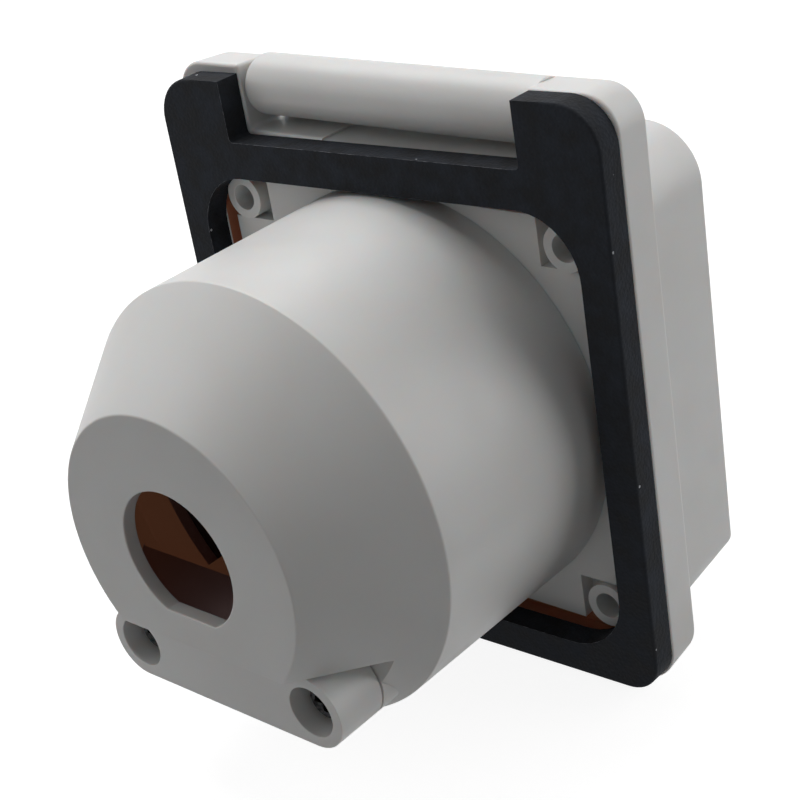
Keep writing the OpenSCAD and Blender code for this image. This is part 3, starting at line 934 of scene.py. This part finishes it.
@dataclass
class PanelGasket:
    """The foam gasket on the flange's rear face, laid on slightly askew."""

    half_width: float = 57.7
    low: float = -56.6
    ear_top: float = 69.0
    thickness: float = 5.8
    low_radius: float = 7.5
    ear_radius: float = 9.5
    notch_half_width: float = 38.5
    notch_shift: float = -0.4
    notch_floor: float = 55.7
    notch_radius: float = 1.0
    opening_half_width: float = 50.4
    opening_half_height: float = 48.4
    opening_radius: float = 13.5
    opening_drop: float = 0.8
    opening_shift: float = 0.3
    soft_edge: float = 1.0
    cut_edge: float = 0.55
    slant: float = -0.028
    shift: float = 0.5

    def build(self) -> Piece:
        """Builds the gasket from a block with its notch and its opening cut out.

        Returns:
            The piece that stands for the CAD gasket.
        """
        piece = block("foam_gasket", (-self.half_width, 0, self.low),
                      (self.half_width, self.thickness, self.ear_top))
        round_upright_edges(piece, self.low_radius, lambda p: p.z < 0)
        round_upright_edges(piece, self.ear_radius, lambda p: p.z > self.ear_top - 1)
        front, rear, top = -THROUGH_MM, self.thickness + THROUGH_MM, self.ear_top + THROUGH_MM
        left, right = (side * self.notch_half_width + self.notch_shift for side in (-1, 1))
        notch = block("notch_cutter", (left, front, self.notch_floor), (right, rear, top))
        round_upright_edges(notch, self.notch_radius, lambda p: p.z < self.notch_floor + 1, 4)
        cut_away(piece, notch)
        low, high = (side * self.opening_half_height - self.opening_drop for side in (-1, 1))
        left, right = (side * self.opening_half_width + self.opening_shift for side in (-1, 1))
        opening = block("opening_cutter", (left, front, low), (right, rear, high))
        round_upright_edges(opening, self.opening_radius, lambda p: True)
        cut_away(piece, opening)
        face_out(piece)
        paint(piece, Finishes.FOAM)
        piece.data.materials.append(Finishes.FOAM_EDGE.material())
        soften_edges(piece, self.soft_edge, lambda p: self.at_rear(p) and self.is_outer(p), 4, 0)
        soften_edges(piece, self.cut_edge, lambda p: self.at_rear(p) and not self.is_outer(p), 2, 1)
        askew = Matrix.Translation((self.shift * MM, 0, 0))
        askew[2][0] = self.slant
        piece.data.transform(askew)
        even_shading(piece)
        return join_to_model(piece, Body.INLET, Slot.GASKET_FOAM, "panel_gasket")

    def at_rear(self, point: Vector) -> bool:
        """Tells whether a point lies on the rear face."""
        return point.y > self.thickness - NEAR_MM

    def is_outer(self, point: Vector) -> bool:
        """Tells whether a point of the rear face lies on the outline's sides, corners or bottom.

        Args:
            point: Middle of an edge.

        Returns:
            True there, and False on the notch and the opening.
        """
        x = abs(point.x)
        beside = x > self.opening_half_width + 0.9 or point.z < -self.opening_half_height - 2
        return beside or (point.z > self.notch_floor + 3 and x > self.half_width - self.ear_radius + ROUND_MM)


@dataclass
class RearCover:
    """The tapered cover with its D-shaped cable hole and the seat of the screw bar."""

    mouth_radius: float = 46.95
    shoulder_radius: float = 46.75
    shoulder: float = 49.6
    end_radius: float = 30.2
    length: float = 72.8
    wall: float = 3.0
    flat: float = -20.39
    seat: float = 56.9
    seat_start: float = 48.1
    seat_segments: int = 24
    tower_x: float = 23.95
    tower_z: float = -28.79
    tower_radius: float = 7.8
    tower_gap: float = 0.001  # keeps the two roundings at an end of the seat apart
    tube_radius: float = 5.2
    tube_start: float = 38.8
    screw_radius: float = 2.25
    cable_radius: float = 14.5
    cable_flat: float = -12.9
    cable_sides: int = 160
    hook_low: Place = (-6.3, 7.7, 42.1)
    hook_high: Place = (6.3, 11.3, 45.75)
    outside: Place = (100.0, 150.0, -200.0)  # X, Y and Z that lie well outside the cover
    rim_edge: float = 0.45
    flat_edge: float = 0.3

    def build(self) -> Piece:
        """Turns the cover, hollows it and cuts its holes.

        Returns:
            The piece that stands for the CAD cover.
        """
        piece = turned("tapered_cover", ((0, 0), (self.mouth_radius, 0), (self.shoulder_radius, self.shoulder),
                                         (self.end_radius, self.length), (0, self.length)))
        paint(piece, Finishes.WHITE)
        cut_away(piece, self.bar_space(self.flat, self.seat))
        end = self.tower_x + self.tower_radius
        seat = block("bar_seat", (-end, self.seat_start, self.tower_z - self.tower_radius),
                     (end, self.seat, self.tower_z + self.tower_radius))
        round_upright_edges(seat, self.tower_radius - self.tower_gap, lambda p: True, self.seat_segments)
        paint(seat, Finishes.WHITE)
        join_on(piece, seat)
        cut_away(piece, self.cavity())
        cut_away(piece, self.cable_hole())
        for side in (-1, 1):
            span = (-LAP_MM, self.seat + LAP_MM)
            cut_away(piece, rod("screw_cutter", self.screw_radius, span, side * self.tower_x, self.tower_z))
        cut_away(piece, block("hook_cutter", self.hook_low, self.hook_high))
        face_out(piece)
        soften_edges(piece, self.rim_edge, self.on_rim)
        soften_edges(piece, self.flat_edge, self.on_flat)
        even_shading(piece)
        return join_to_model(piece, Body.INLET, Slot.WHITE_PLASTIC, "rear_cover")

    def bar_space(self, top: float, start: float) -> Piece:
        """Makes the space below top and behind start, which belongs to the screw bar."""
        x, y, z = self.outside
        return block("bar_cutter", (-x, start, z), (x, y, top))

    def cavity(self) -> Piece:
        """Makes the space inside the cover, round the flat and the two screw tubes.

        Returns:
            The space, as a cutter with the finish of the walls that it leaves.
        """
        slope = (self.shoulder_radius - self.end_radius) / (self.length - self.shoulder)
        skew = math.sqrt(1 + slope * slope)
        end = self.length - self.wall
        bore = self.mouth_radius - self.wall
        bend = self.shoulder - self.wall * (skew - 1) / slope
        end_radius = self.shoulder_radius - self.wall * skew - slope * (end - self.shoulder)
        space = turned("cavity_cutter", ((0, -LAP_MM), (bore, -LAP_MM), (self.shoulder_radius - self.wall, bend),
                                         (end_radius, end), (0, end)))
        # the walls that the cavity leaves get the painted glow and painted shade of the INSIDE finish
        paint(space, Finishes.INSIDE)
        cut_away(space, self.bar_space(self.flat + self.wall, self.seat - self.wall))
        for side in (-1, 1):
            span = (self.tube_start, self.seat + LAP_MM)
            cut_away(space, rod("tube_cutter", self.tube_radius, span, side * self.tower_x, self.tower_z))
        return space

    def cable_hole(self) -> Piece:
        """Makes the round hole with a flat below.

        Returns:
            The hole, as a cutter.
        """
        span = (self.length - self.wall - LAP_MM, self.length + LAP_MM)
        hole = rod("cable_cutter", self.cable_radius, span, sides=self.cable_sides)
        with editing(hole):
            bpy.ops.mesh.bisect(plane_co=(0, 0, self.cable_flat * MM), plane_no=(0, 0, 1), use_fill=True,
                                clear_inner=True)
        face_out(hole)
        return hole

    def on_rim(self, point: Vector) -> bool:
        """Tells whether a point lies on the shoulder, the end's outline or the cable hole's rim.

        Args:
            point: Middle of an edge.

        Returns:
            True on one of these.
        """
        radius = math.hypot(point.x, point.z)
        if point.y > self.length - 2 * NEAR_MM:
            return radius > self.end_radius - ROUND_MM or radius < self.cable_radius + ROUND_MM
        return abs(point.y - self.shoulder) < 2 * NEAR_MM and radius > self.shoulder_radius - ROUND_MM

    def on_flat(self, point: Vector) -> bool:
        """Tells whether a point lies on the edge of the flat above the screw bar."""
        return abs(point.z - self.flat) < 5 * NEAR_MM and point.y > self.seat + 3 * ROUND_MM


@dataclass
class ScrewBar:
    """The bar with two towers below the cable hole, and the two long screws in it."""

    edge: float = 0.22
    tower_x: float = 23.95
    tower_z: float = -28.79
    head_seat: float = 60.5
    head_radius: float = 3.9
    head_height: float = 4.6
    dome: float = 0.4
    dome_segments: int = 5
    shaft_radius: float = 1.95
    shaft_tip: float = 28.6
    slot_width: float = 1.3
    slot_length: float = 4.8
    slot_depth: float = 1.5

    def build(self) -> list[Piece]:
        """Builds the bar and its two screws.

        Returns:
            The bar and the screws.
        """
        bar = soft_copy("screw_bar", "screw_bar_moulding", self.edge)
        paint(bar, Finishes.WHITE)
        join_to_model(bar, Body.INLET, Slot.WHITE_PLASTIC, "screw_bar")
        first = self.screw("cover_screw_left")
        second = first.copy()
        second.data = first.data.copy()
        second.name = second.data.name = "cover_screw_right"
        bpy.context.scene.collection.objects.link(second)
        for screw, side in ((first, 1), (second, -1)):
            screw.location = (side * self.tower_x * MM, 0, self.tower_z * MM)
            settle(screw)
        join_to_model(first, Body.INLET, Slot.STEEL, "cover_screws")
        join_to_model(second, Body.INLET, Slot.STEEL)
        return [bar, first, second]

    def screw(self, name: str) -> Piece:
        """Models a cheese-head screw with a cross recess on the Y axis.

        Args:
            name: Name of the screw.

        Returns:
            The screw, not yet at its tower.
        """
        top = self.head_seat + self.head_height
        piece = rod(name, self.head_radius, (self.head_seat, top), sides=SMALL_SIDES)
        with editing(piece):
            pick(piece, Element.FACE, lambda face: face.normal.y > 0.9)
            bpy.ops.mesh.bevel(offset=self.dome * MM, segments=self.dome_segments, affect="EDGES")
            pick(piece, Element.FACE, lambda face: face.normal.y < -0.9)
            bpy.ops.mesh.inset(thickness=(self.head_radius - self.shaft_radius) * MM, depth=0)
            bpy.ops.mesh.extrude_region_move(
                TRANSFORM_OT_translate={"value": (0, (self.shaft_tip - self.head_seat) * MM, 0)})
        long, wide = self.slot_length / 2, self.slot_width / 2
        for x, z in ((wide, long), (long, wide)):
            cut_away(piece, block("slot_cutter", (-x, top - self.slot_depth, -z), (x, top + 2 * LAP_MM, z)))
        face_out(piece)
        smooth(piece)
        paint(piece, Finishes.OILED)
        return piece


@dataclass(frozen=True)
class LidCorner:
    """A corner of the lid: its radius at the rim and at the face, and how far its end slopes in."""

    radius: float
    face_radius: float
    slope: float


@dataclass
class WeatherLid:
    """The hinged lid with its barrel, and the seal that it presses on the collar."""

    half_width: float = 54.0
    low: float = -49.7
    top: float = 54.9
    rim: float = -10.4
    face: float = -32.5
    wall: float = 2.4
    low_corner: LidCorner = LidCorner(13.0, 3.0, 8.6)
    top_corner: LidCorner = LidCorner(13.0, 12.0, 0.9)
    least_radius: float = 0.5
    side_slope: float = 1.2
    face_edge: float = 1.2
    rim_edge: float = 0.7
    rib_rings: tuple[Span, ...] = ((29.6, 30.8), (36.7, 37.9))
    rib_height: float = 1.8
    hinge: Span = (-5.9, 64.1)
    barrel_radius: float = 6.5
    barrel_ends: Span = (-38.05, 37.6)
    barrel_rounding: Span = (0.2, 2.4)
    barrel_steps: int = 6
    web_ends: Span = (-37.6, 38.0)
    web_gap: float = 0.05  # keeps the web's rear off the plane of the rim
    pin_radius: float = 1.8
    tab_low: Place = (-14.0, -13.0, -53.3)
    tab_high: Place = (14.0, -10.45, -47.3)
    tab_edge: float = 0.6
    seal_edge: float = 0.6

    def build(self) -> list[Piece]:
        """Builds the lid from a hollow tapered panel, its hinge, its tab and its ribs.

        Returns:
            The lid and the seal.
        """
        lid = self.panel("weather_lid", 0.0)
        soften_edges(lid, self.face_edge, lambda p: p.y < self.face + NEAR_MM, 5)
        soften_edges(lid, self.rim_edge, lambda p: p.y > self.rim - NEAR_MM)
        cut_away(lid, self.panel("hollow_cutter", self.wall))
        floor = self.face + self.wall
        crest = floor + self.rib_height
        for inner, outer in self.rib_rings:
            ring = rod("rib", outer, (floor - LAP_MM, crest), sides=LARGE_SIDES)
            cut_away(ring, rod("rib_cutter", inner, (floor - 2 * LAP_MM, crest + LAP_MM), sides=LARGE_SIDES))
            join_on(lid, ring)
        left, right = self.web_ends
        web = block("web", (left, self.hinge[0] - self.barrel_radius, self.top - self.wall),
                    (right, self.rim - self.web_gap, self.hinge[1]))
        tab = block("tab", self.tab_low, self.tab_high)
        soften_edges(tab, self.tab_edge, lambda p: True)
        for part in (web, tab, self.barrel()):
            join_on(lid, part)
        pin = rod("pin_cutter", self.pin_radius, (left - 2 * LAP_MM, right + 2 * LAP_MM), sides=SMALL_SIDES)
        cut_away(lid, lay_across(pin, *self.hinge))
        face_out(lid)
        paint(lid, Finishes.WHITE)
        even_shading(lid)
        join_to_model(lid, Body.LID, Slot.WHITE_PLASTIC, "lid")
        seal = soft_copy("lid_seal", "lid_seal_ring", self.seal_edge)
        paint(seal, Finishes.RUBBER)
        join_to_model(seal, Body.LID, Slot.SEAL_RUBBER, "lid_seal")
        return [lid, seal]

    def panel(self, name: str, inset: float) -> Piece:
        """Makes the lid's tapered panel, or with an inset the space inside it.

        Args:
            name: Name of the object.
            inset: How far the panel lies inside the lid's outside.

        Returns:
            The panel, with the smaller corners that its sloped sides leave at the face.
        """
        reach, low, top = self.half_width - inset, self.low + inset, self.top - inset
        front, rear = self.face + inset, self.rim + (LAP_MM if inset else 0.0)
        piece = rounded_panel(name, (-reach, front, low), (reach, rear, top),
                              self.low_corner.radius - inset, self.top_corner.radius - inset)
        for side, up in product((-1, 1), (-1, 1)):
            corner, end = (self.top_corner, top) if up > 0 else (self.low_corner, low)
            radius = corner.radius - inset
            face_radius = max(corner.face_radius - inset, self.least_radius)
            factor = face_radius / radius
            centre = Vector((side * (reach - radius), 0, end - up * radius))
            face_centre = Vector((side * (reach - self.side_slope - face_radius), 0,
                                  end - up * (corner.slope + face_radius)))
            reshape(piece, lambda p: p.y < front + NEAR_MM and p.x * side > 0 and p.z * up > 0, centre,
                    (factor, 1, factor), face_centre - centre)
        face_out(piece)
        return piece

    def barrel(self) -> Piece:
        """Makes the hinge barrel, with one end rounder than the other.

        Returns:
            The barrel, at the hinge.
        """
        turns = [math.pi / 2 * step / self.barrel_steps for step in range(self.barrel_steps + 1)]
        (start, end), (low_round, high_round) = self.barrel_ends, self.barrel_rounding
        profile = [(0.0, start), (0.0, end)]
        profile[1:1] = [
            (self.barrel_radius - rounding * (1 - math.sin(turn)), place + inward * rounding * (1 - math.cos(turn)))
            for place, inward, rounding, order in ((start, 1, low_round, turns), (end, -1, high_round, turns[::-1]))
            for turn in order]
        return lay_across(turned("barrel", profile, LARGE_SIDES), *self.hinge)


@dataclass
class ContactInsert:
    """The carrier with its contacts and terminals, most of which keep their CAD shapes."""

    edge: float = 0.4
    finishes: dict[str, Finish] = field(default_factory=lambda: {
        "contact_carrier": Finishes.BLACK, "carrier_seal": Finishes.RUBBER,
        "blade_line_1": Finishes.BRASS, "blade_line_2": Finishes.BRASS, "blade_neutral": Finishes.BRASS,
        "blade_ground": Finishes.BRASS, "cover_inserts": Finishes.BRASS, "carrier_screws": Finishes.STEEL,
        "terminal_screws": Finishes.STEEL, "pressure_plates": Finishes.STEEL, "hinge_pin": Finishes.STEEL})

    def build(self) -> list[Piece]:
        """Gives each CAD node its finish.

        Returns:
            The terminal block and the CAD nodes' objects.
        """
        terminals = soft_copy("terminal_block", "terminal_block_moulding", self.edge)
        paint(terminals, Finishes.BLACK)
        join_to_model(terminals, Body.INLET, Slot.BLACK_PLASTIC, "terminal_block")
        pieces = [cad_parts[node] for node in self.finishes]
        for piece, finish in zip(pieces, self.finishes.values()):
            paint(piece, finish)
            smooth(piece)
            LOG.info("%s: CAD shape with %s", piece.name, finish.name)
        return [terminals, *pieces]


@dataclass(frozen=True)
class Softbox:
    """A square lamp that faces the object."""

    name: str
    place: Place
    size_m: float
    watts: float


@dataclass
class Studio:
    """The floor, the lamps, the world and the camera."""

    camera_place: Place = (-232.085, 240.464, 163.91)
    camera_ahead: Place = (0.63338, -0.63576, -0.44117)
    camera_up: Place = (0.18533, -0.42889, 0.88414)
    lens_mm: float = 78.777
    sensor_mm: float = 36.0
    clip_start_m: float = 0.01
    floor_m: float = 12.0
    floor_gap: float = 0.3
    floor_colour: str = "#9C9C9C"
    floor_lift: float = 0.9
    world_strength: float = 0.135
    lamps: tuple[Softbox, ...] = (Softbox("key_softbox", (330, -170, 830), 0.7, 6.3),
                                  Softbox("side_softbox", (-620, -620, 240), 0.8, 3.8),
                                  Softbox("rear_softbox", (560, 560, 460), 0.6, 1.0))

    def build(self) -> None:
        """Builds the floor, the lamps, the world and the camera."""
        self.floor()
        self.world()
        for softbox in self.lamps:
            self.hang(softbox)
        self.camera()
        bpy.context.scene.view_settings.view_transform = "Standard"

    def floor(self) -> None:
        """Adds the pale floor under the object, which keeps the object's shadow."""
        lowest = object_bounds()[0].z - self.floor_gap * MM
        clear_selection()
        bpy.ops.mesh.primitive_plane_add(size=self.floor_m, location=(0, 0, lowest))
        floor = added("floor")
        settle(floor)
        material = bpy.data.materials.new("pale_floor")
        material.use_nodes = True
        tree = material.node_tree
        tree.nodes.clear()
        matt = add_node(tree, "ShaderNodeBsdfDiffuse", {"Color": linear(self.floor_colour)})
        lift = add_node(tree, "ShaderNodeMath", {"operation": "MULTIPLY", 1: self.floor_lift},
                        {0: self.seen_directly(tree)})
        glow = add_node(tree, "ShaderNodeEmission", links={"Strength": lift.outputs["Value"]})
        both = add_node(tree, "ShaderNodeAddShader",
                        links={0: matt.outputs["BSDF"], 1: glow.outputs["Emission"]})
        add_node(tree, "ShaderNodeOutputMaterial", links={"Surface": both.outputs["Shader"]})
        floor.data.materials.append(material)
        floor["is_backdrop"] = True

    def seen_directly(self, tree: Tree) -> Socket:
        """Gives 1 for rays from the camera, a reflection or a clear piece, and 0 for light on the object.

        Args:
            tree: Node tree of the floor or the world.

        Returns:
            The share's socket.
        """
        path = add_node(tree, "ShaderNodeLightPath")
        share = path.outputs["Is Camera Ray"]
        for name in ("Is Glossy Ray", "Is Transmission Ray"):
            share = add_node(tree, "ShaderNodeMath", {"operation": "MAXIMUM"},
                             {0: share, 1: path.outputs[name]}).outputs["Value"]
        return share

    def world(self) -> None:
        """Sets a soft even world that looks white and lights the object plainly."""
        world = bpy.data.worlds.new("studio_world")
        bpy.context.scene.world = world
        world.use_nodes = True
        tree = world.node_tree
        tree.nodes.clear()
        strength = add_node(tree, "ShaderNodeMapRange", {"To Min": self.world_strength, "To Max": 1.0},
                            {"Value": self.seen_directly(tree)})
        sky = add_node(tree, "ShaderNodeBackground", {"Color": (1, 1, 1, 1)},
                       {"Strength": strength.outputs["Result"]})
        add_node(tree, "ShaderNodeOutputWorld", links={"Surface": sky.outputs["Background"]})

    def hang(self, softbox: Softbox) -> None:
        """Adds a lamp that faces the object.

        Args:
            softbox: Name, place, size and power of the lamp.
        """
        clear_selection()
        bpy.ops.object.light_add(type="AREA", location=[v * MM for v in softbox.place])
        lamp = bpy.context.active_object
        lamp.name = softbox.name
        lamp.data.size = softbox.size_m
        lamp.data.energy = softbox.watts
        lamp.rotation_euler = (-Vector(softbox.place)).to_track_quat("-Z", "Y").to_euler()

    def camera(self) -> None:
        """Adds the camera at the photograph's place, turn and lens."""
        data = bpy.data.cameras.new("photo_camera")
        data.lens = self.lens_mm
        data.sensor_width = self.sensor_mm
        data.clip_start = self.clip_start_m
        camera = bpy.data.objects.new("photo_camera", data)
        bpy.context.scene.collection.objects.link(camera)
        ahead, above = Vector(self.camera_ahead).normalized(), Vector(self.camera_up)
        right = ahead.cross(above).normalized()
        turn = Matrix((right, right.cross(ahead), -ahead)).transposed()
        camera.matrix_world = Matrix.Translation(Vector(self.camera_place) * MM) @ turn.to_4x4()
        bpy.context.scene.camera = camera


def main() -> None:
    """Builds the sub-assemblies in order, then the studio round them."""
    logging.basicConfig(level=logging.INFO, format="%(name)s: %(message)s")
    for assembly in (FlangePlate(), PanelGasket(), RearCover(), ScrewBar(), WeatherLid(), ContactInsert()):
        assembly.build()
    Studio().build()


if __name__ == "__main__":
    main()
